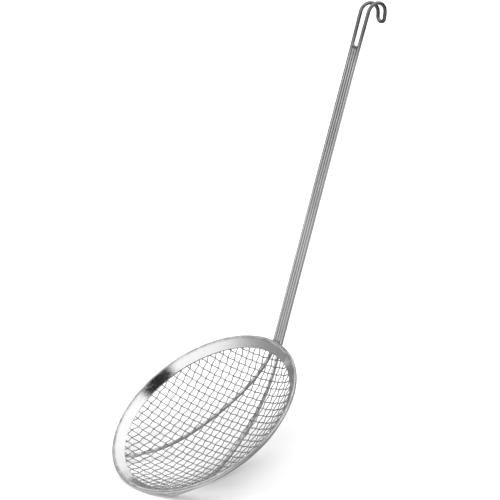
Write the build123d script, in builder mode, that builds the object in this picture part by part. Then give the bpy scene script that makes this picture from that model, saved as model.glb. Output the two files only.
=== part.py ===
from build123d import *
import os
from math import ceil, copysign, cos, hypot, pi, radians, sin, sqrt, tan

# Spider skimmer: a shallow dish of woven wire held in a folded steel rim, on a long handle of four
# wires laid side by side. The two outer handle wires are one bent wire: at the top it makes the
# hanging hook, and below the rim it runs on as two ribs that carry the dish.
# It stands on the low edge of its rim, the way it was photographed: +Z up, +X towards the handle,
# origin on the floor under the middle of its outer box. Left is -Y, right is +Y.
# Rim coordinates: x from the rim's centre towards the handle, y across, z along the rim's normal.
# Handle coordinates: t up the handle from the rim's lip, y across, s towards the handle's back.

# Rim band
rim_radius = 100.0
rim_sheet = 0.5
rim_flange = 10.0
rim_slope = 42.0
rim_tilt = 34.5
lap_from = -16.0
lap_to = 1.0

# Woven dish
mesh_wire = 1.0
mesh_pitch = 7.08
mesh_bend = 1.8
mesh_tuck = 5.9
mesh_end_room = 1.6
mesh_turn = 7.2
mesh_skew = 0.8
warp_phase_share = 0.875
weft_phase_share = 0.685
dish_depth = 33.9
dish_curve_share = 2.6
lean_ahead_share = 0.075
lean_across_share = 0.079
lean_fade_share = 1.7

# Handle and frame wire
handle_wire = 3.5
handle_rise = 38.0
fork_height = 294.6
inner_wire_overrun = 2.0
hook_height = 340.9
hook_skew = 2.6
hook_spread = 1.8
hook_reach = 18.0
hook_bend = 10.2
hook_return = 16.6
hook_flare = 4.3
hook_tip_width = 9.2
hook_tip_bend = 4.3
rib_end_left = -154.4
rib_end_right = 143.3
rib_end_inset = 5.0
rib_run = 15.0
bend_share = 0.45

# Welds
fork_weld_height = 5.0
fork_weld_dip = 2.4
fork_weld_thickness = 2.8
rim_weld_radius = 1.3
rib_weld_radius = 2.5
rib_weld_height = 1.4

# Clearances
crossing_gap = 0.22
fold_room = 0.15
wire_gap = 0.05
rib_gap = 0.1

# Sizes that follow
weave_half = mesh_wire + crossing_gap / 2
cavity_half = weave_half + fold_room
fold_out = cavity_half + rim_sheet
lip_radius = rim_radius - fold_out
slope = radians(rim_slope)
flange_radius = lip_radius - rim_flange * cos(slope)
flange_drop = rim_flange * sin(slope)
tuck_radius = flange_radius + mesh_tuck
handle_radius = handle_wire / 2
rise = radians(handle_rise)
tilt = radians(rim_tilt)

# The handle lies against the lower inner corner of the folded band.
corner_x = flange_radius + fold_out * sin(slope)
corner_z = -flange_drop - fold_out * cos(slope)
handle_seat = (corner_x - lip_radius) * sin(rise) - corner_z * cos(rise) + handle_radius + wire_gap
corner_t = (corner_x - lip_radius) * cos(rise) + corner_z * sin(rise)
inner_y = (handle_wire + wire_gap) / 2
outer_y = 3 * inner_y


# Height of the dish's middle surface on its own axis, without its lean.
def profile_height(radius):
    if radius > flange_radius:
        return (radius - lip_radius) * tan(slope)
    rise_share = (radius / flange_radius) ** dish_curve_share
    return -dish_depth + (dish_depth - flange_drop) * rise_share


# Height of the middle surface of the dish and of the fold, with the lean of the dish's floor.
def mesh_height(x, y):
    radius = hypot(x, y)
    fade = max(1 - (radius / flange_radius) ** 2, 0) ** lean_fade_share
    return profile_height(radius) + (lean_ahead_share * x + lean_across_share * y) * fade


# Height of a point so far above the middle surface, measured square to it.
def height_off_mesh(x, y, distance):
    probe = mesh_wire / 10
    slope_x = (mesh_height(x + probe, y) - mesh_height(x - probe, y)) / (2 * probe)
    slope_y = (mesh_height(x, y + probe) - mesh_height(x, y - probe)) / (2 * probe)
    return mesh_height(x, y) + distance * sqrt(1 + slope_x**2 + slope_y**2)


# Plan distance from the dish's axis after following its profile for a given length.
def plan_offset(length):
    probe = mesh_wire / 20
    radius = 0
    followed = 0
    while followed < abs(length):
        followed += hypot(probe, profile_height(radius + probe) - profile_height(radius))
        radius += probe
    return copysign(radius, length)


# Offsets of one family's wires, with two more on each side that only bend the other family.
def family_offsets(phase_share):
    count = ceil(flange_length / mesh_pitch) + 1
    lengths = [(i + phase_share) * mesh_pitch for i in range(-count, count)]
    shown = [length for length in lengths if abs(length) < flange_length - mesh_wire]
    ends = [shown[0] - 2 * mesh_pitch, shown[0] - mesh_pitch]
    ends_after = [shown[-1] + mesh_pitch, shown[-1] + 2 * mesh_pitch]
    return [plan_offset(length) for length in ends + shown + ends_after]


# Length of the dish's profile from its axis to the rim band.
probe = mesh_wire / 20
steps = int(flange_radius / probe)
flange_length = sum(
    hypot(probe, profile_height((i + 1) * probe) - profile_height(i * probe)) for i in range(steps)
)


# Where the frame of the rim lies in the world.
def rim_frame(centre):
    return Plane(origin=centre, x_dir=(cos(tilt), 0, sin(tilt)), z_dir=(-sin(tilt), 0, cos(tilt)))


# A point on the handle, in rim coordinates.
def handle_place(t, y, s):
    return Vector(lip_radius + t * cos(rise) + s * sin(rise), y, t * sin(rise) - s * cos(rise))


# Corner points of one leg of the frame wire's hook, from the handle to the hook's tip. The hook
# leans sideways, so that its left leg is the higher one.
def hook_corners(side):
    height = hook_height - side * hook_skew / 2
    crown_y = outer_y + hook_spread / 2
    tip_y = hook_tip_width / 2
    return [
        handle_place(height, side * crown_y, handle_seat),
        handle_place(height, side * (2 * crown_y + tip_y) / 3, handle_seat + hook_reach),
        handle_place(height - hook_return, side * tip_y, handle_seat + hook_reach + hook_flare),
    ]


# The rim's centre is placed so that the outer box stands centred on the origin: its lowest point is
# the lower inner corner of the band, its rear is the lip and its front is the hook's higher bend.
level = rim_frame((0, 0, 0))
lowest = corner_z * cos(tilt) - corner_x * sin(tilt)
rear = -lip_radius * cos(tilt) - fold_out
crown, shoulder, tip = [level.from_local_coords(corner) for corner in hook_corners(-1)]
inward = ((crown - shoulder).normalized() + (tip - shoulder).normalized()).normalized()
half_angle = radians((crown - shoulder).get_angle(tip - shoulder)) / 2
bend_centre = shoulder + inward * (hook_bend / sin(half_angle))
front = bend_centre.X + hook_bend + handle_radius
rim = rim_frame((-(front + rear) / 2, 0, -lowest))


# Directions and flat places around the rim.
def outward(azimuth):
    return rim.x_dir * cos(radians(azimuth)) + rim.y_dir * sin(radians(azimuth))


def radial_plane(azimuth):
    return Plane(origin=rim.origin, x_dir=outward(azimuth), z_dir=outward(azimuth).cross(rim.z_dir))


def flange_plane(azimuth, inset, distance):
    along = outward(azimuth) * cos(slope) + rim.z_dir * sin(slope)
    square = rim.z_dir * cos(slope) - outward(azimuth) * sin(slope)
    place = rim.origin + outward(azimuth) * lip_radius - along * inset + square * distance
    return Plane(origin=place, x_dir=along, z_dir=square)


# One round wire along corner points, with one bend radius for each corner between its ends.
def bent_wire(points, radii, diameter):
    with BuildPart() as wire:
        with BuildLine() as route:
            FilletPolyline(*points, radius=radii)
        with BuildSketch(Plane(origin=route.line @ 0, z_dir=route.line % 0)):
            Circle(diameter / 2)
        sweep()
    length = sum(edge.length for edge in route.edges())
    print(f"wire of {length:.1f}, volume share {wire.part.volume / (length * pi * diameter**2 / 4):.4f}")
    return wire.part


os.makedirs("parts", exist_ok=True)

# Rim band: a strip folded over the edge of the mesh, open towards the dish, with its ends lapped.
top_edge = (flange_radius - fold_out * sin(slope), -flange_drop + fold_out * cos(slope))
top_lip = (lip_radius - fold_out * sin(slope), fold_out * cos(slope))
low_lip = (lip_radius + fold_out * sin(slope), -fold_out * cos(slope))
low_edge = (corner_x, corner_z)
top_edge_inside = (flange_radius - cavity_half * sin(slope), -flange_drop + cavity_half * cos(slope))
top_lip_inside = (lip_radius - cavity_half * sin(slope), cavity_half * cos(slope))
low_lip_inside = (lip_radius + cavity_half * sin(slope), -cavity_half * cos(slope))
low_edge_inside = (flange_radius + cavity_half * sin(slope), -flange_drop - cavity_half * cos(slope))
lip_tip = (lip_radius + fold_out * cos(slope), fold_out * sin(slope))
lip_tip_inside = (lip_radius + cavity_half * cos(slope), cavity_half * sin(slope))
lap_out = fold_out + rim_sheet
top_lip_lapped = (lip_radius - lap_out * sin(slope), lap_out * cos(slope))
top_edge_lapped = (flange_radius - lap_out * sin(slope), -flange_drop + lap_out * cos(slope))
with BuildPart() as rim_band:
    with BuildSketch(radial_plane(0)):
        with BuildLine():
            Line(top_edge, top_lip)
            ThreePointArc(top_lip, lip_tip, low_lip)
            Polyline(low_lip, low_edge, low_edge_inside, low_lip_inside)
            ThreePointArc(low_lip_inside, lip_tip_inside, top_lip_inside)
            Polyline(top_lip_inside, top_edge_inside, top_edge)
        make_face()
    revolve(axis=Axis(rim.origin, rim.z_dir))
    with BuildSketch(radial_plane(lap_from)):
        with BuildLine():
            Polyline(top_edge, top_lip, top_lip_lapped, top_edge_lapped, close=True)
        make_face()
    revolve(axis=Axis(rim.origin, rim.z_dir), revolution_arc=lap_to - lap_from)
rim_band.part.label = "rim_band"
export_step(rim_band.part, "parts/rim_band.step")


# How far below the middle surface a rib's centre runs: against the mesh, and lower under the band.
def rib_drop(x, y):
    below_mesh = weave_half + handle_radius + rib_gap
    below_band = fold_out + handle_radius + rib_gap
    share = min(max((hypot(x, y) - flange_radius + rib_run) / rib_run, 0), 1)
    return below_mesh + (below_band - below_mesh) * share


# Corner points of one rib, from the handle to its end under the band. Each corner is pushed out by
# a quarter of the surface's sag there, so that the bent wire follows the mesh between the corners.
def rib_corners(side, end_azimuth):
    root = handle_place(corner_t - handle_radius, side * outer_y, handle_seat)
    end_radius = lip_radius - rib_end_inset
    end_x = end_radius * cos(radians(end_azimuth))
    end_y = end_radius * sin(radians(end_azimuth))
    runs = ceil(hypot(root.X - end_x, root.Y - end_y) / rib_run)
    step_x = (end_x - root.X) / runs
    step_y = (end_y - root.Y) / runs
    corners = [root]
    for i in range(1, runs + 1):
        x = root.X + step_x * i
        y = root.Y + step_y * i
        sag = 0
        if i < runs:
            beside = mesh_height(x - step_x, y - step_y) + mesh_height(x + step_x, y + step_y)
            sag = beside / 2 - mesh_height(x, y)
        corners.append(Vector(x, y, height_off_mesh(x, y, -rib_drop(x, y)) - sag / 4))
    return corners


# As gentle a bend as the two runs beside a corner allow.
def gentle_bend(before, corner, after):
    half_turn = radians((corner - before).get_angle(after - corner)) / 2
    return bend_share * min((corner - before).length, (after - corner).length) / tan(half_turn)


# Frame wire: left rib, left handle wire, hook, right handle wire, right rib.
left_rib = rib_corners(-1, rib_end_left)
right_rib = rib_corners(1, rib_end_right)
left_fork = handle_place(fork_height, -outer_y, handle_seat)
right_fork = handle_place(fork_height, outer_y, handle_seat)
left_hook = hook_corners(-1)
right_hook = hook_corners(1)
frame_corners = left_rib[::-1] + [left_fork] + left_hook + right_hook[::-1] + [right_fork] + right_rib
gentle = [gentle_bend(*frame_corners[i : i + 3]) for i in range(len(frame_corners) - 2)]
crown_place = len(left_rib)
frame_bends = gentle.copy()
frame_bends[crown_place : crown_place + 3] = [hook_bend, hook_bend, hook_tip_bend]
frame_bends[crown_place + 3 : crown_place + 6] = [hook_tip_bend, hook_bend, hook_bend]
frame_points = [rim.from_local_coords(corner) for corner in frame_corners]
frame_wire = bent_wire(frame_points, frame_bends, handle_wire)
frame_wire.label = "frame_wire"
export_step(frame_wire, "parts/frame_wire.step")

# Inner handle wires, cut off in the fork and just past the band.
inner_from = corner_t - inner_wire_overrun
inner_wires = []
for name, side in (("inner_wire_left", -1), ("inner_wire_right", 1)):
    foot = rim.from_local_coords(handle_place(inner_from, side * inner_y, handle_seat))
    head = rim.from_local_coords(handle_place(fork_height, side * inner_y, handle_seat))
    with BuildPart() as inner_wire:
        with BuildSketch(Plane(origin=foot, z_dir=head - foot)):
            Circle(handle_radius)
        extrude(amount=(head - foot).length)
    inner_wire.part.label = name
    export_step(inner_wire.part, f"parts/{name}.step")
    inner_wires.append(inner_wire.part)

# Handle welds: the pool in the fork and the bead where the four wires meet the lip.
fork_centre = rim.from_local_coords(handle_place(fork_height, 0, handle_seat))
lip_centre = rim.from_local_coords(handle_place(0, 0, 0))
seat_centre = rim.from_local_coords(handle_place(0, 0, handle_seat))
up_handle = (fork_centre - seat_centre).normalized()
fork_plane = Plane(origin=fork_centre, x_dir=rim.y_dir, z_dir=rim.y_dir.cross(up_handle))
bead_place = rim.from_local_coords(handle_place(rim_weld_radius, 0, handle_seat - handle_radius))
with BuildPart() as handle_welds:
    with BuildSketch(fork_plane):
        with BuildLine():
            Polyline((-outer_y, fork_weld_height), (-outer_y, 0), (outer_y, 0), (outer_y, fork_weld_height))
            ThreePointArc((outer_y, fork_weld_height), (0, fork_weld_dip), (-outer_y, fork_weld_height))
        make_face()
    extrude(amount=fork_weld_thickness / 2, both=True)
    with BuildSketch(Plane(origin=bead_place, x_dir=up_handle, z_dir=rim.y_dir)):
        Circle(rim_weld_radius)
    extrude(amount=outer_y, both=True)
    add([frame_wire, *inner_wires, rim_band.part], mode=Mode.SUBTRACT)
handle_welds.part.label = "handle_welds"
export_step(handle_welds.part, "parts/handle_welds.step")

# Rib welds: a flat bead round each rib's end, against the underside of the band.
with BuildPart() as rib_welds:
    for azimuth in (rib_end_left, rib_end_right):
        weld_inset = rim_flange - rib_weld_radius
        with BuildSketch(flange_plane(azimuth, weld_inset, -fold_out + rim_sheet / 2)):
            Circle(rib_weld_radius)
        extrude(amount=-(rib_weld_height + rim_sheet / 2))
    add([frame_wire, rim_band.part], mode=Mode.SUBTRACT)
rib_welds.part.label = "rib_welds"
export_step(rib_welds.part, "parts/rib_welds.step")

# Woven dish. Each wire lies in its own plane square to the rim and bends over and under the wires
# that it crosses. The warp runs towards the handle, the weft across it. A wire that would cross
# another right at its cut end stops short of it.
warp_turn = radians(mesh_turn + 90 + mesh_skew / 2)
weft_turn = radians(mesh_turn - mesh_skew / 2)
warp_offsets = family_offsets(warp_phase_share)
weft_offsets = family_offsets(weft_phase_share)
families = {
    "warp_wire": (warp_turn, warp_offsets, weft_turn, weft_offsets, 1),
    "weft_wire": (weft_turn, weft_offsets, warp_turn, warp_offsets, -1),
}
lift = weave_half - mesh_wire / 2
for family, (turn, own_offsets, other_turn, other_offsets, first_side) in families.items():
    for number, own in enumerate(own_offsets[2:-2], start=1):
        stop = sqrt(tuck_radius**2 - own**2)
        start = -stop
        corners = []
        for place, other in enumerate(other_offsets):
            along = (other - own * cos(other_turn - turn)) / sin(other_turn - turn)
            crossing_radius = hypot(own, along)
            if crossing_radius < tuck_radius - mesh_wire:
                over = first_side * (-1) ** (number + place)
                corners.append((along, over * lift))
            elif crossing_radius < tuck_radius + mesh_wire and along < 0:
                start = max(start, along + mesh_end_room)
            elif crossing_radius < tuck_radius + mesh_wire:
                stop = min(stop, along - mesh_end_room)
        points = []
        corners.sort()
        for along, offset in [(start, corners[0][1])] + corners + [(stop, corners[-1][1])]:
            x = own * cos(turn) - along * sin(turn)
            y = own * sin(turn) + along * cos(turn)
            points.append(rim.from_local_coords(Vector(x, y, height_off_mesh(x, y, offset))))
        part = bent_wire(points, mesh_bend, mesh_wire)
        part.label = f"{family}_{number:02d}"
        export_step(part, f"parts/{part.label}.step")
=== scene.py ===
import math
import bpy
import numpy as np
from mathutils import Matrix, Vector


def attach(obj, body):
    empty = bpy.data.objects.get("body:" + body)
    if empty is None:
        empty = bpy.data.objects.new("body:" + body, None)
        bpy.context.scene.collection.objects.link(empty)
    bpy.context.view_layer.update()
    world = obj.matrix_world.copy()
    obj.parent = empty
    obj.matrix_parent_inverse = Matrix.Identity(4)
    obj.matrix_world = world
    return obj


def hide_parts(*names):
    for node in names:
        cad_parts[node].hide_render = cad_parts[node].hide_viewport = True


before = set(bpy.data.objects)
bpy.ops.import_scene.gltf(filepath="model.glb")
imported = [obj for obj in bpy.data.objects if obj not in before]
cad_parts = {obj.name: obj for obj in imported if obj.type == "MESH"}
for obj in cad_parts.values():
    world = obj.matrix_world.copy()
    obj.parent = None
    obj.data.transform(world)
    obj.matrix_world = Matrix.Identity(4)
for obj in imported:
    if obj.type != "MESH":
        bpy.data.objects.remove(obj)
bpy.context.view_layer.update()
print("spider skimmer: frame loaded,", len(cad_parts), "solids")

# Lengths are millimetres in the dictionaries of the pieces, and metres in those of the looks and the stage.
# Angles are degrees. Meshes are written in metres.
# Rim coordinates: x from the rim's centre towards the handle, y across, z along the rim's normal.
# Handle coordinates: t up the handle from the rim's lip, y across, s towards the handle's back.


def unit(v):
    return v / np.linalg.norm(v, axis=-1, keepdims=True)


def surfaceParts(grid, uAlong, vAcross, closed=True, capped=True):
    # a grid of points [along, across] becomes quads, and each end gets one flat cap
    # corner (i, j) of the grid has the UV (uAlong[i], vAcross[j])
    rings, around = grid.shape[:2]
    i, j = np.meshgrid(np.arange(rings - 1), np.arange(around if closed else around - 1), indexing="ij")
    k = (j + 1) % around
    quads = np.stack([i * around + j, i * around + k, (i + 1) * around + k, (i + 1) * around + j], -1)
    u = np.stack([uAlong[i], uAlong[i], uAlong[i + 1], uAlong[i + 1]], -1)
    v = np.stack([vAcross[j], vAcross[j + 1], vAcross[j + 1], vAcross[j]], -1)
    faces = quads.reshape(-1, 4).tolist()
    uv = np.stack([u, v], -1).reshape(-1, 2)
    if capped:
        ring = np.arange(around)
        faces += [ring[::-1].tolist(), (ring + (rings - 1) * around).tolist()]
        uv = np.concatenate([uv] + [np.stack([np.full(around, u0), vAcross[:around]], -1) for u0 in uAlong[[0, -1]]])
    return grid.reshape(-1, 3), faces, uv


def makePiece(name, parts, contact=None, sharpAngle=50):
    # one mesh object from the parts of its surfaces, in metres, facing outwards and smooth between soft angles
    points, faces, uvs = [], [], []
    for partPoints, partFaces, partUv in parts:
        first = sum(len(p) for p in points)
        a, b, c = (partPoints[[f[n] for f in partFaces]] for n in (0, 1, 2))
        d = partPoints[[f[-1] for f in partFaces]]
        middle = partPoints.mean(0)
        cones = np.cross(b - middle, c - middle) + np.cross(c - middle, d - middle)
        if np.sum((a - middle) * cones) < 0:
            sizes = [len(f) for f in partFaces]
            starts = np.cumsum([0] + sizes[:-1])
            order = np.concatenate([np.arange(s + n - 1, s - 1, -1) for s, n in zip(starts, sizes)])
            partFaces, partUv = [f[::-1] for f in partFaces], partUv[order]
        points.append(partPoints)
        faces += [[first + p for p in f] for f in partFaces]
        uvs.append(partUv)
    mesh = bpy.data.meshes.new(name)
    mesh.from_pydata((np.concatenate(points) / 1000).tolist(), [], faces)
    mesh.uv_layers.new(name="surface").uv.foreach_set("vector", np.concatenate(uvs).astype(np.float32).ravel())
    mesh.polygons.foreach_set("use_smooth", np.ones(len(faces), bool))
    mesh.attributes.new("contact", "FLOAT", "POINT")
    if contact is not None:
        mesh.attributes["contact"].data.foreach_set("value", np.asarray(contact, np.float32).ravel())
    mesh.set_sharp_from_angle(angle=math.radians(sharpAngle))
    mesh.validate()
    piece = bpy.data.objects.new(name, mesh)
    bpy.context.scene.collection.objects.link(piece)
    return piece


def carriedFrames(path, firstSide):
    # side and up vectors along a path: each side vector is the one before it, squared up to the new direction
    along = unit(np.gradient(path, axis=0))
    side = np.empty_like(path)
    side[0] = firstSide
    for n in range(len(path)):
        last = side[n - 1] if n else side[0]
        side[n] = unit(last - last.dot(along[n]) * along[n])
    return side, np.cross(along, side)


def tubeParts(path, side, up, radii, sides, lengthUnit=10):
    # a circle of the given radius in each point's side and up directions; u is the length in centimetres
    angle = np.linspace(0, 2 * np.pi, sides, endpoint=False)
    circle = np.cos(angle)[None, :, None] * side[:, None] + np.sin(angle)[None, :, None] * up[:, None]
    steps = np.linalg.norm(np.diff(path, axis=0), axis=1)
    length = np.concatenate([[0], np.cumsum(steps)]) / lengthUnit
    grid = path[:, None] + np.broadcast_to(radii, len(path))[:, None, None] * circle
    return surfaceParts(grid, length, np.linspace(0, 1, sides + 1))


def bentPath(corners, bends, arcStep, runStep, closest=0.02):
    # straight runs joined by arcs: each arc has its corner's bend radius and touches both runs
    # points no further apart than closest become one
    path = [corners[:1]]
    for before, corner, after, bend in zip(corners[:-2], corners[1:-1], corners[2:], bends):
        came, goes = unit(corner - before), unit(after - corner)
        turn = math.acos(np.clip(came.dot(goes), -1, 1))
        centre = corner + unit(goes - came) * bend / math.cos(turn / 2)
        angle = np.linspace(-turn / 2, turn / 2, max(3, math.ceil(math.degrees(turn) / arcStep)))[:, None]
        path.append(centre + bend * (np.cos(angle) * unit(came - goes) + np.sin(angle) * unit(came + goes)))
    path = np.concatenate(path + [corners[-1:]])
    length = np.concatenate([[0], np.cumsum(np.linalg.norm(np.diff(path, axis=0), axis=1))])
    places = np.unique(np.round(np.concatenate([length, np.arange(0, length[-1], runStep)]), 4))
    places = places[np.concatenate([[True], np.diff(places) > closest])]
    return np.stack([np.interp(places, length, path[:, n]) for n in range(3)], -1)


rim = {
    "place": (-61.8603, 0, 58.694),  # centre of the rim in the world
    "tilt": 34.5,
    "radius": 100.0,  # to the outside of the folded lip
    "sheet": 0.5,
    "flange": 10.0,
    "slope": 42.0,
    "foldOut": 1.76,  # half the thickness of the closed fold
    "lapFrom": -16.0,
    "lapTo": 1.0,
    "sectors": 300,
    "creaseInset": 0.3,
    "flangeSteps": 7,
    "foldSteps": 17,
    "edgeSteps": 7,
    "edgeBulge": 0.6,
    "satinFrom": 0.6,
}
dish = {
    "depth": 33.9,
    "curve": 2.6,  # power of the bowl's profile
    "leanAhead": 0.075,
    "leanAcross": 0.079,
    "leanFade": 1.7,
    "wire": 1.0,
    "pitch": 7.08,
    "crimp": 0.58,  # how far a wire's centre leaves the middle surface at a crossing
    "crimpSharpness": 0.8,
    "turn": 7.2,
    "skew": 0.8,
    "warpPhase": 0.875,
    "weftPhase": 0.685,
    "tuck": 5.9,
    "endRoom": 1.6,
    "step": 0.55,
    "sides": 12,
    "seatSharpness": 10,
}
tilt = math.radians(rim["tilt"])
slope = math.radians(rim["slope"])
rimPlace = np.array(rim["place"])
rimAxes = np.array([[math.cos(tilt), 0, math.sin(tilt)], [0, 1, 0], [-math.sin(tilt), 0, math.cos(tilt)]])
lipRadius = rim["radius"] - rim["foldOut"]
flangeRadius = lipRadius - rim["flange"] * math.cos(slope)
flangeDrop = rim["flange"] * math.sin(slope)


def toWorld(points):
    return rimPlace + np.asarray(points, float) @ rimAxes


def profileHeight(radius):
    # bowl: -depth plus a power of the radius; fold: a straight cone up to the lip
    bowl = -dish["depth"] + (dish["depth"] - flangeDrop) * (radius / flangeRadius) ** dish["curve"]
    return np.where(radius > flangeRadius, (radius - lipRadius) * math.tan(slope), bowl)


def meshHeight(x, y):
    # the profile plus a lean of the floor that fades out towards the rim
    radius = np.hypot(x, y)
    fade = np.clip(1 - (radius / flangeRadius) ** 2, 0, None) ** dish["leanFade"]
    return profileHeight(radius) + (dish["leanAhead"] * x + dish["leanAcross"] * y) * fade


def heightOffMesh(x, y, distance):
    # height of a point that far from the middle surface, measured square to it
    step = 0.1
    slopeX = (meshHeight(x + step, y) - meshHeight(x - step, y)) / (2 * step)
    slopeY = (meshHeight(x, y + step) - meshHeight(x, y - step)) / (2 * step)
    return meshHeight(x, y) + distance * np.sqrt(1 + slopeX**2 + slopeY**2)


profileRadii = np.linspace(0, lipRadius, 4000)
profileLength = np.concatenate([[0], np.cumsum(np.hypot(np.diff(profileRadii), np.diff(profileHeight(profileRadii))))])
flangeLength = np.interp(flangeRadius, profileRadii, profileLength)


def familyOffsets(phase):
    # evenly spaced along the bowl's profile, with two more each side that only bend the other family
    count = math.ceil(flangeLength / dish["pitch"]) + 1
    lengths = (np.arange(-count, count) + phase) * dish["pitch"]
    shown = lengths[np.abs(lengths) < flangeLength - dish["wire"]]
    extra = np.array([2, 1]) * dish["pitch"]
    lengths = np.concatenate([shown[0] - extra, shown, shown[-1] + extra[::-1]])
    return np.sign(lengths) * np.interp(np.abs(lengths), profileLength, profileRadii)


def newGroup(name, inputs, outputs):
    group = bpy.data.node_groups.new(name, "ShaderNodeTree")
    for label, kind, value in inputs:
        socket = group.interface.new_socket(name=label, in_out="INPUT", socket_type=kind)
        if value is not None:
            socket.default_value = value
    for label in outputs:
        group.interface.new_socket(name=label, in_out="OUTPUT", socket_type="NodeSocketFloat")
    return group, group.nodes.new("NodeGroupInput"), group.nodes.new("NodeGroupOutput")


def calc(tree, operation, a, b=None, c=None, clamp=False):
    node = tree.nodes.new("ShaderNodeMath")
    node.operation = operation
    node.use_clamp = clamp
    for slot, value in enumerate((a, b, c)):
        if isinstance(value, bpy.types.NodeSocket):
            tree.links.new(value, node.inputs[slot])
        elif value is not None:
            node.inputs[slot].default_value = value
    return node.outputs[0]


def noise(tree, vector, scale, detail=3.0, roughness=0.55, distortion=0.0):
    node = tree.nodes.new("ShaderNodeTexNoise")
    for label, value in (("Scale", scale), ("Detail", detail), ("Roughness", roughness), ("Distortion", distortion)):
        if isinstance(value, bpy.types.NodeSocket):
            tree.links.new(value, node.inputs[label])
        else:
            node.inputs[label].default_value = value
    tree.links.new(vector, node.inputs["Vector"])
    return node.outputs["Fac"]


def remap(tree, value, low, high, toLow, toHigh, smooth=False):
    node = tree.nodes.new("ShaderNodeMapRange")
    node.interpolation_type = "SMOOTHSTEP" if smooth else "LINEAR"
    tree.links.new(value, node.inputs["Value"])
    for label, v in (("From Min", low), ("From Max", high), ("To Min", toLow), ("To Max", toHigh)):
        if isinstance(v, bpy.types.NodeSocket):
            tree.links.new(v, node.inputs[label])
        else:
            node.inputs[label].default_value = v
    return node.outputs["Result"]


lineRange = (0.3, 0.7)  # the part of a noise's values that lines and tones use


def drawnLinesGroup():
    # die lines: noise stretched along the wire and wound round it, so it has no seam
    inputs = [("Surface", "NodeSocketVector", None), ("Fineness", "NodeSocketFloat", 9.0),
              ("Stretch", "NodeSocketFloat", 0.12)]
    group, entry, out = newGroup("drawnLines", inputs, ["Lines", "Tone"])
    split = group.nodes.new("ShaderNodeSeparateXYZ")
    group.links.new(entry.outputs["Surface"], split.inputs[0])
    turn = calc(group, "MULTIPLY", split.outputs["Y"], 2 * math.pi)
    join = group.nodes.new("ShaderNodeCombineXYZ")
    group.links.new(calc(group, "MULTIPLY", split.outputs["X"], entry.outputs["Stretch"]), join.inputs["X"])
    group.links.new(calc(group, "COSINE", turn), join.inputs["Y"])
    group.links.new(calc(group, "SINE", turn), join.inputs["Z"])
    fine = noise(group, join.outputs[0], entry.outputs["Fineness"], detail=4, roughness=0.65)
    broad = noise(group, join.outputs[0], scale=1.6, detail=2, roughness=0.5)
    group.links.new(remap(group, fine, *lineRange, 0, 1), out.inputs["Lines"])
    group.links.new(remap(group, broad, *lineRange, 0, 1), out.inputs["Tone"])
    return group


def polishLinesGroup():
    # lines that run round the hoop: noise squeezed across the strip, over broad bands that change the tone
    bandsAlong, bandsAcross = 0.35, 9.0
    inputs = [("Surface", "NodeSocketVector", None), ("Across", "NodeSocketFloat", 90.0),
              ("Along", "NodeSocketFloat", 0.5)]
    group, entry, out = newGroup("polishLines", inputs, ["Lines", "Tone"])
    split = group.nodes.new("ShaderNodeSeparateXYZ")
    group.links.new(entry.outputs["Surface"], split.inputs[0])
    join = group.nodes.new("ShaderNodeCombineXYZ")
    group.links.new(calc(group, "MULTIPLY", split.outputs["X"], entry.outputs["Along"]), join.inputs["X"])
    group.links.new(calc(group, "MULTIPLY", split.outputs["Y"], entry.outputs["Across"]), join.inputs["Y"])
    fine = noise(group, join.outputs[0], scale=1.0, detail=5, roughness=0.7)
    bands = group.nodes.new("ShaderNodeCombineXYZ")
    group.links.new(calc(group, "MULTIPLY", split.outputs["X"], bandsAlong), bands.inputs["X"])
    group.links.new(calc(group, "MULTIPLY", split.outputs["Y"], bandsAcross), bands.inputs["Y"])
    broad = noise(group, bands.outputs[0], scale=1.0, detail=2, roughness=0.5)
    group.links.new(remap(group, fine, *lineRange, 0, 1), out.inputs["Lines"])
    group.links.new(remap(group, broad, 0.32, 0.68, 0, 1), out.inputs["Tone"])
    return group


def handlingMarksGroup():
    # smudges are soft noise; scratches are the thin contour lines of a stretched noise
    inputs = [("Object", "NodeSocketVector", None), ("Smudge size", "NodeSocketFloat", 38.0)]
    group, entry, out = newGroup("handlingMarks", inputs, ["Smudge", "Scratch"])
    smudge = noise(group, entry.outputs["Object"], entry.outputs["Smudge size"], 3, roughness=0.6, distortion=0.4)
    turned = group.nodes.new("ShaderNodeMapping")
    turned.inputs["Rotation"].default_value = (0.5, 0.35, 0.8)
    turned.inputs["Scale"].default_value = (30, 260, 260)
    group.links.new(entry.outputs["Object"], turned.inputs["Vector"])
    level = noise(group, turned.outputs[0], scale=1.0, detail=1.5, roughness=0.5)
    offContour = calc(group, "ABSOLUTE", calc(group, "SUBTRACT", level, 0.5))
    group.links.new(remap(group, smudge, 0.48, 0.68, 0, 1, True), out.inputs["Smudge"])
    group.links.new(remap(group, offContour, 0.004, 0.016, 1, 0, True), out.inputs["Scratch"])
    return group


groups = {"drawnLines": drawnLinesGroup(), "polishLines": polishLinesGroup(), "handlingMarks": handlingMarksGroup()}


def placeGroup(tree, name, vector, values):
    node = tree.nodes.new("ShaderNodeGroup")
    node.node_tree = groups[name]
    tree.links.new(vector, node.inputs[0])
    for label, value in values.items():
        node.inputs[label].default_value = value
    return node.outputs


# what all looks of the steel have in common
metal = {
    "dirtAndShadeNoise": (0.35, 0.6, 0.5, 1),  # noise from, noise to, share of the seat's dirt and painted shade at either
    "scratchRough": 0.08,
    "scratchDepth": 0.5,
    "seatRough": 0.14,
}


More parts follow.
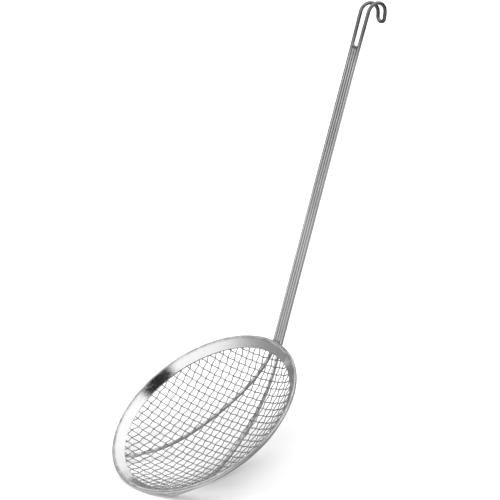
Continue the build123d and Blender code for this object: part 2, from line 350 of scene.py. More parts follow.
def steel(name, look, lines):
    # bare metal whose tone, roughness and height follow die or polishing lines and handling marks,
    # darker and duller where two pieces touch, which is dirt and painted shade, and darker with height where the
    # look has an entry for it, which is painted shade: from and to in metres, and the most that it takes
    material = bpy.data.materials.new(name)
    material.use_nodes = True
    tree = material.node_tree
    shader = tree.nodes["Principled BSDF"]
    shader.inputs["Metallic"].default_value = 1.0
    place = tree.nodes.new("ShaderNodeTexCoord")
    surface = tree.nodes.new("ShaderNodeUVMap")
    surface.uv_map = "surface"
    touch = tree.nodes.new("ShaderNodeAttribute")
    touch.attribute_name = "contact"
    line = placeGroup(tree, lines, surface.outputs["UV"], look["lines"])
    marks = placeGroup(tree, "handlingMarks", place.outputs["Object"], {"Smudge size": look["smudgeSize"]})
    dirtAndShadeNoise = remap(tree, noise(tree, place.outputs["Object"], look["dirtAndShadeNoiseSize"], 3, 0.6), *metal["dirtAndShadeNoise"])
    touchedDirtAndShade = calc(tree, "MULTIPLY", touch.outputs["Fac"], dirtAndShadeNoise, clamp=True)
    tone = tree.nodes.new("ShaderNodeMix")
    tone.data_type = "RGBA"
    tone.inputs["A"].default_value = (*look["dark"], 1)
    tone.inputs["B"].default_value = (*look["bright"], 1)
    broad = calc(tree, "MULTIPLY_ADD", line["Tone"], 0.5, 0.5 - look["lineTone"])
    share = calc(tree, "MULTIPLY_ADD", line["Lines"], look["lineTone"], broad, clamp=True)
    share = calc(tree, "MULTIPLY_ADD", marks["Smudge"], -look["smudgeTone"], share, clamp=True)
    tree.links.new(share, tone.inputs["Factor"])
    # the next mix darkens the tone towards the look's seat colour: dirt and painted shade where pieces touch, and
    # painted shade with height
    soiledAndShaded = tree.nodes.new("ShaderNodeMix")
    soiledAndShaded.data_type = "RGBA"
    soiledAndShaded.inputs["B"].default_value = (*look["seat"], 1)
    tree.links.new(tone.outputs["Result"], soiledAndShaded.inputs["A"])
    share = calc(tree, "MULTIPLY", touchedDirtAndShade, look["dirtAndShadeShare"])
    # painted shade: the colour darkens towards the seat colour with height, so the handle is darker towards the hook
    if "paintedShadeHigh" in look:
        low, high, most = look["paintedShadeHigh"]
        split = tree.nodes.new("ShaderNodeSeparateXYZ")
        tree.links.new(place.outputs["Object"], split.inputs[0])
        share = calc(tree, "MAXIMUM", share, remap(tree, split.outputs["Z"], low, high, 0, most, True))
    tree.links.new(share, soiledAndShaded.inputs["Factor"])
    tree.links.new(soiledAndShaded.outputs["Result"], shader.inputs["Base Color"])
    rough = remap(tree, line["Lines"], 0, 1, *look["rough"])
    rough = calc(tree, "MULTIPLY_ADD", marks["Smudge"], look["smudgeRough"], rough)
    rough = calc(tree, "MULTIPLY_ADD", marks["Scratch"], metal["scratchRough"], rough)
    rough = calc(tree, "MULTIPLY_ADD", touchedDirtAndShade, metal["seatRough"], rough, clamp=True)
    tree.links.new(rough, shader.inputs["Roughness"])
    bump = tree.nodes.new("ShaderNodeBump")
    bump.inputs["Distance"].default_value = look["bump"]
    bump.inputs["Strength"].default_value = look["bumpStrength"]
    height = calc(tree, "MULTIPLY_ADD", marks["Scratch"], -metal["scratchDepth"], line["Lines"])
    tree.links.new(height, bump.inputs["Height"])
    tree.links.new(bump.outputs["Normal"], shader.inputs["Normal"])
    return material


meshLook = {
    # seat is the colour of dirt and painted shade at the wires' crossings
    "bright": (0.53, 0.53, 0.525), "dark": (0.33, 0.33, 0.33), "seat": (0.2, 0.2, 0.195), "dirtAndShadeShare": 0.6,
    "rough": (0.2, 0.34), "smudgeRough": 0.06,
    "smudgeTone": 0.3, "smudgeSize": 30.0, "dirtAndShadeNoiseSize": 160.0, "lineTone": 0.35,
    "bump": 0.00002, "bumpStrength": 0.35, "lines": {"Fineness": 5.0, "Stretch": 0.3},
}
handleLook = {
    # the seat colour darkens the seams between the wires, as dirt and painted shade
    "bright": (0.8, 0.8, 0.8), "dark": (0.64, 0.64, 0.64), "seat": (0.17, 0.17, 0.17), "dirtAndShadeShare": 0.85,
    # painted shade: the next entry darkens the handle towards the hook, from and to in metres, and the most
    "paintedShadeHigh": (0.375, 0.412, 0.85),
    "rough": (0.16, 0.26), "smudgeRough": 0.07,
    "smudgeTone": 0.25, "smudgeSize": 22.0, "dirtAndShadeNoiseSize": 90.0, "lineTone": 0.3,
    "bump": 0.00003, "bumpStrength": 0.3, "lines": {"Fineness": 9.0, "Stretch": 0.1},
}
rimLook = {
    # seat is painted shade on the bend of the lip, where the steel is also satin
    "bright": (0.9, 0.9, 0.9), "dark": (0.78, 0.78, 0.78), "seat": (0.36, 0.36, 0.36), "dirtAndShadeShare": 0.9,
    "rough": (0.07, 0.14), "smudgeRough": 0.08,
    "smudgeTone": 0.25, "smudgeSize": 26.0, "dirtAndShadeNoiseSize": 120.0, "lineTone": 0.25,
    "bump": 0.00003, "bumpStrength": 0.25, "lines": {"Across": 90.0, "Along": 0.5},
}
weldLook = {
    "bright": (0.44, 0.44, 0.43), "dark": (0.24, 0.235, 0.225), "seat": (0.22, 0.2, 0.18), "dirtAndShadeShare": 0.7,
    "rough": (0.24, 0.42), "smudgeRough": 0.08,
    "smudgeTone": 0.3, "smudgeSize": 160.0, "dirtAndShadeNoiseSize": 400.0, "lineTone": 0.4,
    "bump": 0.00012, "bumpStrength": 0.6, "lines": {"Across": 7.0, "Along": 9.0},
}
meshSteel = steel("meshWireSteel", meshLook, "drawnLines")
handleSteel = steel("handleWireSteel", handleLook, "drawnLines")
rimSteel = steel("rimSteel", rimLook, "polishLines")
weldSteel = steel("weldSteel", weldLook, "polishLines")
print("materials made")


def finishPiece(piece, material, slot, *nodes):
    piece.data.materials.append(material)
    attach(piece, "root")
    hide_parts(*nodes)


def wovenWire(number, own, turn, otherOffsets, otherTurn, firstSide):
    # one crimped wire in its own plane square to the rim; its distance from the middle surface is a wave that
    # peaks at each crossing: the arcsine of a damped cosine, straight between the crossings and tight over them
    tuckRadius = flangeRadius + dish["tuck"]
    alongs = (otherOffsets - own * math.cos(otherTurn - turn)) / math.sin(otherTurn - turn)
    radii = np.hypot(own, alongs)
    crossed = radii < tuckRadius - dish["wire"]
    close = ~crossed & (radii < tuckRadius + dish["wire"])
    stop = math.sqrt(tuckRadius**2 - own**2)
    start = max([-stop] + (alongs[close & (alongs < 0)] + dish["endRoom"]).tolist())
    stop = min([stop] + (alongs[close & (alongs > 0)] - dish["endRoom"]).tolist())
    places = np.flatnonzero(crossed)
    order = np.argsort(alongs[places])
    along = np.linspace(start, stop, math.ceil((stop - start) / dish["step"]))
    phase = np.pi * (number + np.interp(along, alongs[places][order], places[order]))
    wave = np.cos(phase)
    sharp = dish["crimpSharpness"]
    offset = firstSide * dish["crimp"] * np.arcsin(sharp * wave) / math.asin(sharp)
    x = own * math.cos(turn) - along * math.sin(turn)
    y = own * math.sin(turn) + along * math.cos(turn)
    path = toWorld(np.stack([x, y, heightOffMesh(x, y, offset)], -1))
    side = np.broadcast_to(np.array([math.cos(turn), math.sin(turn), 0]) @ rimAxes, path.shape)
    up = np.cross(unit(np.gradient(path, axis=0)), side)
    # contact is 1 at each crossing, where the steel's colour is darkened as dirt and painted shade
    contact = np.repeat(np.abs(wave) ** dish["seatSharpness"], dish["sides"])
    return tubeParts(path, side, up, dish["wire"] / 2, dish["sides"]), contact


warpTurn = math.radians(dish["turn"] + 90 + dish["skew"] / 2)
weftTurn = math.radians(dish["turn"] - dish["skew"] / 2)
warpOffsets = familyOffsets(dish["warpPhase"])
weftOffsets = familyOffsets(dish["weftPhase"])
for family, turn, ownOffsets, otherTurn, otherOffsets, firstSide in (
    ("warp", warpTurn, warpOffsets, weftTurn, weftOffsets, 1),
    ("weft", weftTurn, weftOffsets, warpTurn, warpOffsets, -1),
):
    for number, own in enumerate(ownOffsets[2:-2], start=1):
        parts, contact = wovenWire(number, own, turn, otherOffsets, otherTurn, firstSide)
        wire = makePiece(f"{family}Wire{number:02d}", [parts], contact)
        finishPiece(wire, meshSteel, "mesh_wire_steel", f"{family}_wire_{number:02d}")
print("woven dish made")


def rimProfile():
    # strip folded round the lip: two flanges along the slope and a half circle, thickened by the sheet
    out = np.array([math.cos(slope), math.sin(slope)])
    up = np.array([-math.sin(slope), math.cos(slope)])
    lip = np.array([lipRadius, 0.0])
    middle = rim["foldOut"] - rim["sheet"] / 2

    def skin(radius):
        crease = rim["creaseInset"]
        inset = np.linspace(rim["flange"] - crease, crease, rim["flangeSteps"])
        inset = np.concatenate([[rim["flange"]], inset])[:, None]
        fold = np.linspace(0, np.pi, rim["foldSteps"])[:, None]
        top = lip - inset * out + radius * up
        turn = lip + radius * (np.cos(fold) * up + np.sin(fold) * out)
        return np.concatenate([top, turn, lip - inset[::-1] * out - radius * up])

    half = rim["sheet"] / 2
    edge = np.linspace(0, np.pi, rim["edgeSteps"])[1:-1, None]
    bulge = half * (-np.cos(edge) * up - np.sin(edge) * out * rim["edgeBulge"])
    lowEdge = lip - rim["flange"] * out - middle * up + bulge
    topEdge = lip - rim["flange"] * out + middle * up + bulge
    return np.concatenate([skin(rim["foldOut"]), lowEdge, skin(rim["foldOut"] - rim["sheet"])[::-1], topEdge])


def hoop(profile, angles):
    # profile (radius, height) turned about the rim's axis
    x = profile[None, :, 0] * np.cos(angles)[:, None]
    y = profile[None, :, 0] * np.sin(angles)[:, None]
    z = np.broadcast_to(profile[None, :, 1], x.shape)
    return toWorld(np.stack([x, y, z], -1))


def profileShare(profile):
    loop = np.concatenate([profile, profile[:1]])
    return np.concatenate([[0], np.cumsum(np.linalg.norm(np.diff(loop, axis=0), axis=1))]) / 10


profile = rimProfile()
seam = math.radians((rim["lapFrom"] + rim["lapTo"]) / 2)
angles = seam + np.linspace(0, 2 * np.pi, rim["sectors"], endpoint=False)
ring = hoop(profile, np.append(angles, seam))
roundLength = np.append(angles - seam, 2 * np.pi) * lipRadius / 10
ringParts = surfaceParts(ring, roundLength, profileShare(profile), capped=False)
joined = [[p % (len(angles) * len(profile)) for p in f] for f in ringParts[1]]
ringParts = (ringParts[0][: len(angles) * len(profile)], joined, ringParts[2])

# the lapped end of the strip lies on the upper flange, sunk a little into it; its long edges are eased
lap = {"ease": 0.22, "beside": 0.3, "sunk": 0.02, "innerEdge": 0.2, "steps": 30}
sheet, flange, ease = rim["sheet"], rim["flange"], lap["ease"]
flat, sunk = ease + lap["beside"], lap["sunk"]
insetAndRise = np.array([
    (flange - sunk, -sunk), (flange, 0), (flange, sheet - ease), (flange - ease, sheet), (flange - flat, sheet),
    (flat, sheet), (ease, sheet), (sunk, sheet - ease), (sunk, 0), (lap["innerEdge"], -sunk),
])
flangeWay = np.array([math.cos(slope), math.sin(slope)])
flangeUp = np.array([-math.sin(slope), math.cos(slope)])
lapRise = rim["foldOut"] - sunk / 2 + insetAndRise[:, 1:]
lapSection = np.array([lipRadius, 0]) - insetAndRise[:, :1] * flangeWay + lapRise * flangeUp
lapAngles = np.radians(np.linspace(rim["lapFrom"], rim["lapTo"], lap["steps"]))
lapParts = surfaceParts(hoop(lapSection, lapAngles), (lapAngles - seam) * lipRadius / 10, profileShare(lapSection))
# the upper half of the fold's bend is satin, not polished, and its colour is darkened there as painted shade that
# takes out the bend's highlight, so it goes into the contact mask
offLip = profile - (lipRadius, 0)
satinAndPaintedShade = np.clip(np.stack([offLip @ flangeWay, offLip @ flangeUp]) / rim["satinFrom"] + 1, 0, 1).prod(0)
satinAndPaintedShade = np.tile(satinAndPaintedShade, len(angles))
band = makePiece("rimBand", [ringParts, lapParts], np.concatenate([satinAndPaintedShade, np.zeros(len(lapParts[0]))]))
finishPiece(band, rimSteel, "rim_steel", "rim_band")
print("rim band made")


handle = {
    "wire": 3.5,
    "gap": 0.05,
    "rise": 38.0,
    "fork": 294.6,
    "overrun": 2.0,
    "hookHeight": 340.9,
    "hookSkew": 2.6,
    "hookSpread": 1.8,
    "hookReach": 18.0,
    "hookBend": 10.2,
    "hookReturn": 16.6,
    "hookFlare": 4.3,
    "tipWidth": 9.2,
    "tipBend": 4.3,
    "ribEndLeft": -154.4,
    "ribEndRight": 143.3,
    "ribEndInset": 5.0,
    "ribRun": 15.0,
    "ribGap": 0.1,
    "weaveRoom": 0.11,  # half of the gap that crossing mesh wires keep
    "bendShare": 0.45,
    "sides": 32,
    "rodSteps": 90,
    "endRound": 0.35,
    "seamSharpness": 5,
}
rise = math.radians(handle["rise"])
wireRadius = handle["wire"] / 2
cornerX = flangeRadius + rim["foldOut"] * math.sin(slope)
cornerZ = -flangeDrop - rim["foldOut"] * math.cos(slope)
seat = (cornerX - lipRadius) * math.sin(rise) - cornerZ * math.cos(rise) + wireRadius + handle["gap"]
cornerT = (cornerX - lipRadius) * math.cos(rise) + cornerZ * math.sin(rise)
innerY = (handle["wire"] + handle["gap"]) / 2
outerY = 3 * innerY


def onHandle(t, y, s):
    # rim coordinates of a point given in handle coordinates
    t, y, s = np.broadcast_arrays(*(np.asarray(v, float) for v in (t, y, s)))
    x = lipRadius + t * math.cos(rise) + s * math.sin(rise)
    return np.stack([x, y, t * math.sin(rise) - s * math.cos(rise)], -1)


def ribCorners(side, endAngle):
    # even runs in plan, under the mesh and then under the band, each corner pushed out by a quarter of the sag
    root = onHandle(cornerT - wireRadius, side * outerY, seat)
    endRadius = lipRadius - handle["ribEndInset"]
    end = np.array([math.cos(math.radians(endAngle)), math.sin(math.radians(endAngle))]) * endRadius
    runs = math.ceil(np.hypot(*(end - root[:2])) / handle["ribRun"])
    plan = root[:2] + np.arange(runs + 2)[:, None] * (end - root[:2]) / runs
    height = meshHeight(plan[:, 0], plan[:, 1])
    sag = np.zeros(runs + 1)
    sag[1:runs] = (height[: runs - 1] + height[2 : runs + 1]) / 2 - height[1:runs]
    x, y = plan[: runs + 1].T
    weaveHalf = dish["wire"] + handle["weaveRoom"]
    share = np.clip((np.hypot(x, y) - flangeRadius + handle["ribRun"]) / handle["ribRun"], 0, 1)
    drop = weaveHalf + (rim["foldOut"] - weaveHalf) * share + wireRadius + handle["ribGap"]
    corners = np.stack([x, y, heightOffMesh(x, y, -drop) - sag / 4], -1)
    corners[0] = root
    return corners


def hookCorners(side):
    # the leg at -Y is the higher one, because the hook leans sideways
    height = handle["hookHeight"] - side * handle["hookSkew"] / 2
    crownY = outerY + handle["hookSpread"] / 2
    tipY = handle["tipWidth"] / 2
    reach = seat + handle["hookReach"]
    return np.stack([
        onHandle(height, side * crownY, seat),
        onHandle(height, side * (2 * crownY + tipY) / 3, reach),
        onHandle(height - handle["hookReturn"], side * tipY, reach + handle["hookFlare"]),
    ])


def roundedEnds(path, radius, ease, steps=4):
    # at both ends the radius shrinks on a quarter circle, as on a cut and deburred wire
    angle = np.linspace(np.pi / 2, 0, steps)
    inward = (ease * (1 - np.sin(angle)))[:, None]
    radii = radius - ease * (1 - np.cos(angle))
    head = path[0] + inward * unit(path[1] - path[0])
    foot = path[-1] - inward[::-1] * unit(path[-1] - path[-2])
    path = np.concatenate([head, path[1:-1], foot])
    return path, np.concatenate([radii, np.full(len(path) - 2 * steps, radius), radii[::-1]])


leftRib, rightRib = ribCorners(-1, handle["ribEndLeft"]), ribCorners(1, handle["ribEndRight"])
frameCorners = np.concatenate([
    leftRib[::-1], onHandle(handle["fork"], -outerY, seat)[None], hookCorners(-1),
    hookCorners(1)[::-1], onHandle(handle["fork"], outerY, seat)[None], rightRib,
])
runs = np.linalg.norm(np.diff(frameCorners, axis=0), axis=1)
ways = unit(np.diff(frameCorners, axis=0))
halfTurns = np.arccos(np.clip((ways[:-1] * ways[1:]).sum(1), -1, 1)) / 2
frameBends = handle["bendShare"] * np.minimum(runs[:-1], runs[1:]) / np.tan(halfTurns)
crown = len(leftRib)
frameBends[crown : crown + 3] = handle["hookBend"], handle["hookBend"], handle["tipBend"]
frameBends[crown + 3 : crown + 6] = handle["tipBend"], handle["hookBend"], handle["hookBend"]
framePath = bentPath(toWorld(frameCorners), frameBends, arcStep=4, runStep=3)
framePath, frameRadii = roundedEnds(framePath, wireRadius, handle["endRound"])
frameSide, frameUp = carriedFrames(framePath, np.array([0.0, 1.0, 0.0]))
frameParts = tubeParts(framePath, frameSide, frameUp, frameRadii, handle["sides"])

handleWay = unit(toWorld(onHandle(1, 0, 0)) - toWorld(onHandle(0, 0, 0)))


def seamContact(points, y):
    # near 1 where a wire's surface faces its neighbour, between the rim and the fork: the seams are darkened there, as
    # dirt and painted shade between the wires
    t = (points - toWorld(onHandle(0, 0, 0))) @ handleWay
    across = np.abs(points[:, 1]) - abs(y)
    near = np.clip(np.abs(across) / wireRadius, 0, 1) ** handle["seamSharpness"]
    if abs(y) > innerY * 2:
        near = near * (across < 0)
    return near * (t < handle["fork"]) * (t > cornerT)


frameWire = makePiece("frameWire", [frameParts], seamContact(frameParts[0], outerY))
finishPiece(frameWire, handleSteel, "handle_wire_steel", "frame_wire")
for name, side in (("Left", -1), ("Right", 1)):
    t = np.linspace(cornerT - handle["overrun"], handle["fork"], handle["rodSteps"])
    path, radii = roundedEnds(toWorld(onHandle(t, side * innerY, seat)), wireRadius, handle["endRound"])
    parts = tubeParts(path, *carriedFrames(path, np.array([0.0, 1.0, 0.0])), radii, handle["sides"])
    inner = makePiece("innerWire" + name, [parts], seamContact(parts[0], innerY))
    finishPiece(inner, handleSteel, "handle_wire_steel", "inner_wire_" + name.lower())
print("handle and hook made")


weld = {
    "forkHeight": 5.0,
    "forkDip": 2.4,
    "forkThickness": 2.8,
    "forkFoot": -1.2,
    "forkSquareness": 0.62,  # power of sine and cosine: 1 is an ellipse, less is squarer
    "forkRipple": (0.05, 2.6),  # share and turns per millimetre, in radians
    "rimRadius": 1.3,
    "rimShare": (0.93, 0.05),  # of the radius: the mean and the wave between wires
    "rimEnd": (0.55, 14),  # share of the radius at the bead's ends, and how sharply it falls
    "ribRadius": 2.5,
    "ribHeight": 1.4,
    "ribDome": 2.6,  # power of the dome's super ellipse
    "ribUneven": 0.04,
}


def forkPool():
    # carried across the fork: at each y a rounded oblong in the plane of t and s, its top a parabola that dips
    # in the middle, like metal that has run between two wires
    y = np.linspace(-outerY, outerY, 41)
    angle = np.linspace(0, 2 * np.pi, 40, endpoint=False)
    top = weld["forkDip"] + (weld["forkHeight"] - weld["forkDip"]) * (y / outerY) ** 2
    foot, power = weld["forkFoot"], weld["forkSquareness"]
    rippleShare, rippleRate = weld["forkRipple"]
    cosine = np.sign(np.cos(angle)) * np.abs(np.cos(angle)) ** power
    sine = np.sign(np.sin(angle)) * np.abs(np.sin(angle)) ** power
    t = (top[:, None] + foot) / 2 + (top[:, None] - foot) / 2 * cosine[None]
    ripple = 1 - rippleShare * (1 + np.cos(y * rippleRate))[:, None]
    s = weld["forkThickness"] / 2 * ripple * sine[None]
    grid = toWorld(onHandle(handle["fork"] + t, y[:, None], seat + s))
    return surfaceParts(grid, y / 10, np.linspace(0, 1.4, 41))


def rimBead():
    # a round bead carried across the handle under the lip; it is thinner between the wires and at its ends
    y = np.linspace(-outerY, outerY, 61)
    angle = np.linspace(0, 2 * np.pi, 28, endpoint=False)
    mean, wave = weld["rimShare"]
    endShare, endPower = weld["rimEnd"]
    end = np.sqrt(np.clip(1 - (np.abs(y) / (outerY + 0.001)) ** endPower, 0.0, 1))
    radius = mean + wave * np.cos(y / innerY * np.pi - np.pi)
    radius = weld["rimRadius"] * radius * (endShare + (1 - endShare) * end)
    t = weld["rimRadius"] + radius[:, None] * np.cos(angle)[None]
    s = seat - wireRadius + radius[:, None] * np.sin(angle)[None]
    return surfaceParts(toWorld(onHandle(t, y[:, None], s)), y / 10, np.linspace(0, 0.8, 29))


def ribBead(azimuth):
    # a low dome under the band round a rib's end: rings of a super ellipse, slightly out of round
    turn = math.radians(azimuth)
    radial = np.array([math.cos(turn), math.sin(turn), 0])
    out = radial * math.cos(slope) + np.array([0, 0, math.sin(slope)])
    up = np.array([0, 0, math.cos(slope)]) - radial * math.sin(slope)
    across = np.cross(up, out)
    inset = rim["flange"] - weld["ribRadius"]
    centre = radial * lipRadius - out * inset - up * (rim["foldOut"] - rim["sheet"] / 2)
    height = weld["ribHeight"] + rim["sheet"] / 2
    level = np.sin(np.linspace(0, np.pi / 2, 14))
    angle = np.linspace(0, 2 * np.pi, 36, endpoint=False)
    width = weld["ribRadius"] * np.clip(1 - level ** weld["ribDome"], 0.0004, 1) ** 0.5
    uneven = 1 - weld["ribUneven"] * (1 + np.cos(3 * angle + turn))
    plan = width[:, None] * uneven[None]
    grid = centre + plan[..., None] * (np.cos(angle)[None, :, None] * out + np.sin(angle)[None, :, None] * across)
    grid = grid - (height * level)[:, None, None] * up
    return surfaceParts(toWorld(grid), level * 0.5, np.linspace(0, 1.6, 37))


handleWelds = makePiece("handleWelds", [forkPool(), rimBead()], sharpAngle=70)
finishPiece(handleWelds, weldSteel, "weld_steel", "handle_welds")
ribWelds = makePiece("ribWelds", [ribBead(handle["ribEndLeft"]), ribBead(handle["ribEndRight"])], sharpAngle=70)
finishPiece(ribWelds, weldSteel, "weld_steel", "rib_welds")
print("welds made")


studio = {
    "azimuth": -33.9,
    "elevation": 18.83,
    "distance": 5.0,
    "target": (0.00469, 0.02015, 0.20554),
    "viewWidth": 0.4785,
    "fill": 0.33,
    "sunAzimuth": -38,
    "sunElevation": 52,
    "sunSpread": 52,
    "sunPower": 4.4,
}


def direction(azimuth, elevation):
    # azimuth 0 is the way towards -Y, and 90 the way towards +X
    a, e = math.radians(azimuth), math.radians(elevation)
    return np.array([math.sin(a) * math.cos(e), -math.cos(a) * math.cos(e), math.sin(e)])


def aim(thing, place, target):
    thing.location = place
    thing.rotation_euler = (Vector(target) - Vector(place)).to_track_quat("-Z", "Y").to_euler()


scene = bpy.context.scene
scene.view_settings.view_transform = "Standard"
camera = bpy.data.objects.new("camera", bpy.data.cameras.new("camera"))
scene.collection.objects.link(camera)
camera.data.lens = 36 * studio["distance"] / studio["viewWidth"]
camera.data.clip_end = 40
towardsCamera = direction(studio["azimuth"], studio["elevation"])
aim(camera, np.array(studio["target"]) + studio["distance"] * towardsCamera, studio["target"])
scene.camera = camera

sun = bpy.data.objects.new("softSun", bpy.data.lights.new("softSun", "SUN"))
scene.collection.objects.link(sun)
sun.data.energy = studio["sunPower"]
sun.data.angle = math.radians(studio["sunSpread"])
aim(sun, direction(studio["sunAzimuth"], studio["sunElevation"]), (0, 0, 0))
sun.visible_glossy = False


def seenRays(tree):
    # 1 for what the camera sees, straight or in metal or glass
    path = tree.nodes.new("ShaderNodeLightPath")
    both = calc(tree, "MAXIMUM", path.outputs["Is Camera Ray"], path.outputs["Is Glossy Ray"])
    return calc(tree, "MAXIMUM", both, path.outputs["Is Transmission Ray"])


world = bpy.data.worlds.new("studioWorld")
scene.world = world
world.use_nodes = True
tree = world.node_tree
backdrop = tree.nodes["Background"]
backdrop.inputs["Color"].default_value = (1, 1, 1, 1)
backdrop.inputs["Strength"].default_value = 1.0
fill = tree.nodes.new("ShaderNodeBackground")
fill.inputs["Color"].default_value = (1, 1, 1, 1)
fill.inputs["Strength"].default_value = studio["fill"]
choose = tree.nodes.new("ShaderNodeMixShader")
tree.links.new(seenRays(tree), choose.inputs[0])
tree.links.new(fill.outputs[0], choose.inputs[1])
tree.links.new(backdrop.outputs[0], choose.inputs[2])
tree.links.new(choose.outputs[0], tree.nodes["World Output"].inputs[0])


def stageSurface(name, grid, material):
    u, v = (np.arange(count + 1) / 10 for count in grid.shape[:2])
    piece = makePiece(name, [surfaceParts(grid * 1000, u, v, closed=False, capped=False)])
    piece.data.materials.append(material)
    return piece


# aside runs to the right of the dish's low edge, and behind runs away from the camera
floor = {
    "reach": 4.0,
    "tone": 0.82,
    "grain": 0.01,
    "grainSize": 60,
    "lift": 0.05,
    "aside": (0.51, -0.86),
    # painted light where the floor is seen through the mesh, washing out the shadow there
    "paintedLight": 0.18,
    "paintedLightAside": (-0.055, -0.024),
    "paintedLightBehind": (-0.064, -0.04),
    # painted shadow beside the foot
    "paintedShadow": 0.28,
    "paintedShadowAside": ((-0.04, -0.02), (-0.01, 0.035)),  # where it comes and where it goes
    "paintedShadowBehind": ((-0.095, -0.065), (-0.04, 0.03)),
}


def floorMaterial():
    # pale matt floor, lifted to white where the camera or a reflection sees it, and still holding the shadow;
    # painted light lifts it where it is seen through the mesh, washing out the shadow there, and a painted shadow
    # darkens it beside the foot
    material = bpy.data.materials.new("paleFloor")
    material.use_nodes = True
    tree = material.node_tree
    shader = tree.nodes["Principled BSDF"]
    place = tree.nodes.new("ShaderNodeTexCoord")
    at = tree.nodes.new("ShaderNodeSeparateXYZ")
    tree.links.new(place.outputs["Object"], at.inputs[0])
    aside, behind = (
        calc(tree, "ADD", calc(tree, "MULTIPLY", at.outputs["X"], wayX), calc(tree, "MULTIPLY", at.outputs["Y"], wayY))
        for wayX, wayY in (floor["aside"], -towardsCamera[:2])
    )
    # painted light: extra emission where the floor is seen through the mesh, over the object's shadow
    paintedLight = calc(tree, "MULTIPLY", remap(tree, aside, *floor["paintedLightAside"], floor["paintedLight"], 0, True),
                remap(tree, behind, *floor["paintedLightBehind"], 0, 1, True))
    # painted shadow: the floor's colour is darker beside the foot, in a patch set by aside and behind
    comesBehind, goesBehind = floor["paintedShadowBehind"]
    foot = calc(tree, "MULTIPLY", remap(tree, behind, *comesBehind, 0, 1, True),
                remap(tree, behind, *goesBehind, 1, 0, True))
    comesAside, goesAside = floor["paintedShadowAside"]
    beside = calc(tree, "MULTIPLY", remap(tree, aside, *comesAside, 0, 1, True),
                  remap(tree, aside, *goesAside, floor["paintedShadow"], 0, True))
    tone = calc(tree, "MULTIPLY", calc(tree, "SUBTRACT", 1, calc(tree, "MULTIPLY", beside, foot)), floor["tone"])
    grain = noise(tree, place.outputs["Object"], floor["grainSize"], detail=4, roughness=0.6)
    grain = remap(tree, grain, 0, 1, 1, 1 + floor["grain"])
    tree.links.new(calc(tree, "MULTIPLY", tone, grain), shader.inputs["Base Color"])
    shader.inputs["Roughness"].default_value = 0.8
    shader.inputs["Specular IOR Level"].default_value = 0.0
    lift = tree.nodes.new("ShaderNodeEmission")
    tree.links.new(calc(tree, "MULTIPLY", seenRays(tree), calc(tree, "ADD", paintedLight, floor["lift"])),
                   lift.inputs["Strength"])
    both = tree.nodes.new("ShaderNodeAddShader")
    tree.links.new(shader.outputs[0], both.inputs[0])
    tree.links.new(lift.outputs[0], both.inputs[1])
    tree.links.new(both.outputs[0], tree.nodes["Material Output"].inputs[0])
    return material


tent = {
    "radius": 3.0,
    "top": (-0.205, 0.0, 0.979),
    "light": 1.25,
    # lean towards the top, from -1 to 1, and light there
    "stops": [(-0.45, 0.03), (-0.2, 0.06), (0.0, 0.18), (0.15, 0.27), (0.24, 0.34),
              (0.32, 0.5), (0.41, 0.72), (0.5, 0.82), (0.7, 0.88), (1.0, 0.95)],
    "flag": (-38.6, 51),  # azimuth and elevation
    "flagCore": 12.5,
    "flagEdge": 16,
    "flagShare": 0.02,
}


def tentMaterial():
    # a light tent seen only in the metal: its light is a curve of how far a direction leans towards the tent's
    # bright top, less what a dark flag over the camera holds back
    material = bpy.data.materials.new("lightTent")
    material.use_nodes = True
    tree = material.node_tree
    tree.nodes.remove(tree.nodes["Principled BSDF"])
    place = tree.nodes.new("ShaderNodeTexCoord")
    way = tree.nodes.new("ShaderNodeVectorMath")
    way.operation = "NORMALIZE"
    tree.links.new(place.outputs["Object"], way.inputs[0])

    def lean(towards):
        dot = tree.nodes.new("ShaderNodeVectorMath")
        dot.operation = "DOT_PRODUCT"
        tree.links.new(way.outputs[0], dot.inputs[0])
        dot.inputs[1].default_value = tuple(unit(np.array(towards)))
        return dot.outputs["Value"]

    ramp = tree.nodes.new("ShaderNodeValToRGB")
    while len(ramp.color_ramp.elements) < len(tent["stops"]):
        ramp.color_ramp.elements.new(0.5)
    for element, (position, value) in zip(ramp.color_ramp.elements, tent["stops"]):
        element.position = (position + 1) / 2
        element.color = (value, value, value, 1)
    tree.links.new(remap(tree, lean(tent["top"]), -1, 1, 0, 1), ramp.inputs[0])
    split = tree.nodes.new("ShaderNodeSeparateColor")
    tree.links.new(ramp.outputs["Color"], split.inputs[0])
    level = calc(tree, "MULTIPLY", split.outputs[0], tent["light"])
    off = lean(direction(*tent["flag"]))
    edge, core = (math.cos(math.radians(tent[name])) for name in ("flagEdge", "flagCore"))
    level = calc(tree, "MULTIPLY", level, remap(tree, off, edge, core, 1, tent["flagShare"], True))
    light = tree.nodes.new("ShaderNodeEmission")
    tree.links.new(level, light.inputs["Strength"])
    tree.links.new(light.outputs[0], tree.nodes["Material Output"].inputs[0])
    return material


def glowMaterial(name):
    # an emission without a surface, and the coordinates to shade it by
    material = bpy.data.materials.new(name)
    material.use_nodes = True
    tree = material.node_tree
    tree.nodes.remove(tree.nodes["Principled BSDF"])
    light = tree.nodes.new("ShaderNodeEmission")
    tree.links.new(light.outputs[0], tree.nodes["Material Output"].inputs[0])
    place = tree.nodes.new("ShaderNodeTexCoord")
    split = tree.nodes.new("ShaderNodeSeparateXYZ")
    tree.links.new(place.outputs["Object"], split.inputs[0])
    return material, tree, light, split.outputs


# a floor that only the metal sees; pairs say from where to where
card = {
    "height": 0.0002,
    "tone": 0.24,
    "far": 0.32,
    "farAway": (0.3, 0.9),
    "right": 0.55,
    "rightX": (0.12, 0.5),
    "foot": 0.65,
    "footX": ((-0.2, -0.15), (-0.1, -0.055)),  # where it comes and where it goes
    "edge": 0.02,
    "edgeBehind": (0.95, 1.15),
}


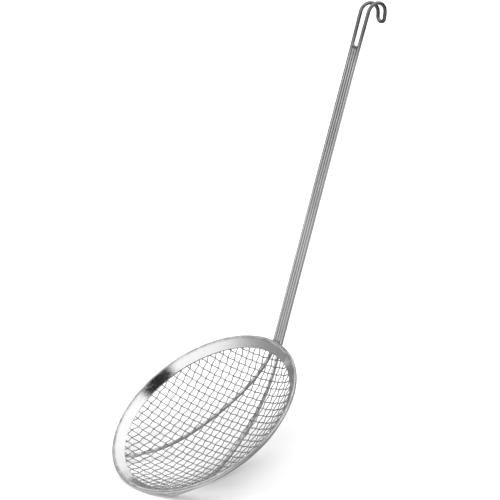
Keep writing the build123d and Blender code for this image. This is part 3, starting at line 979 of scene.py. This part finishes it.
def cardMaterial():
    # dark round the object, lighter under its foot, further off and towards +X, and darkest far behind
    material, tree, light, at = glowMaterial("darkCard")
    away = calc(tree, "SQRT", calc(tree, "ADD", calc(tree, "POWER", at["X"], 2.0), calc(tree, "POWER", at["Y"], 2.0)))
    far = remap(tree, away, *card["farAway"], card["tone"], card["far"], True)
    right = remap(tree, at["X"], *card["rightX"], 0, card["right"], True)
    comes, goes = card["footX"]
    foot = calc(tree, "MULTIPLY", remap(tree, at["X"], *comes, 0, 1, True),
                remap(tree, at["X"], *goes, card["foot"], 0, True))
    cameraX, cameraY, _ = -towardsCamera / math.cos(math.radians(studio["elevation"]))
    behind = calc(tree, "MULTIPLY_ADD", at["X"], cameraX, calc(tree, "MULTIPLY", at["Y"], cameraY))
    fade = remap(tree, behind, *card["edgeBehind"], 1, card["edge"], True)
    level = calc(tree, "MAXIMUM", calc(tree, "MAXIMUM", far, right), foot)
    tree.links.new(calc(tree, "MULTIPLY", level, fade), light.inputs["Strength"])
    return material


# an arc before the object, which only the metal sees
frontPanel = {"radius": 0.6, "azimuths": (-60, -10), "heights": (0.001, 0.5), "light": 0.42}
# arcs round the hook, dark above their foot, which only the metal sees
hookCards = {
    "centre": (0.125, 0.0),
    "radius": 0.3,
    "azimuths": {"hookCardLeft": (-165, -105), "hookCardRight": (20, 105)},
    "heights": (0.29, 0.48),
    "fadeHeight": 0.04,
    "lights": (0.3, 0.02),  # at the foot and above
}


def frontPanelMaterial():
    material, _, light, _ = glowMaterial("frontPanel")
    light.inputs["Strength"].default_value = frontPanel["light"]
    return material


def hookCardMaterial():
    material, tree, light, at = glowMaterial("hookCard")
    foot = hookCards["heights"][0]
    level = remap(tree, at["Z"], foot, foot + hookCards["fadeHeight"], *hookCards["lights"])
    tree.links.new(level, light.inputs["Strength"])
    return material


def panel(name, centre, radius, azimuths, heights, material):
    turns, levels = np.meshgrid(np.radians(np.linspace(*azimuths, 17)), np.linspace(*heights, 9), indexing="ij")
    grid = np.stack([centre[0] + radius * np.sin(turns), centre[1] - radius * np.cos(turns), levels], -1)
    onlyInMetal(stageSurface(name, grid, material))


def onlyInMetal(piece):
    piece.visible_camera = False
    piece.visible_diffuse = False
    piece.visible_shadow = False
    piece.visible_transmission = False
    piece.visible_volume_scatter = False


across = np.linspace(-floor["reach"], floor["reach"], 9)
floorX, floorY = np.meshgrid(across, across, indexing="ij")
stageSurface("floor", np.stack([floorX, floorY, np.zeros_like(floorX)], -1), floorMaterial())
turns, lifts = np.meshgrid(np.linspace(0, 2 * np.pi, 49), np.linspace(-np.pi / 2, np.pi / 2, 25), indexing="ij")
tentWays = np.stack([np.cos(turns) * np.cos(lifts), np.sin(turns) * np.cos(lifts), np.sin(lifts)], -1)
onlyInMetal(stageSurface("lightTent", tent["radius"] * tentWays, tentMaterial()))
spans, turns = np.meshgrid(np.linspace(0.0, tent["radius"], 3), np.linspace(0, 2 * np.pi, 49), indexing="ij")
cardGrid = np.stack([spans * np.cos(turns), spans * np.sin(turns), np.full_like(spans, card["height"])], -1)
onlyInMetal(stageSurface("darkCard", cardGrid, cardMaterial()))
panel("frontPanel", (0, 0), frontPanel["radius"], frontPanel["azimuths"], frontPanel["heights"], frontPanelMaterial())
hookCardShade = hookCardMaterial()
for name, azimuths in hookCards["azimuths"].items():
    panel(name, hookCards["centre"], hookCards["radius"], azimuths, hookCards["heights"], hookCardShade)
print("studio made")
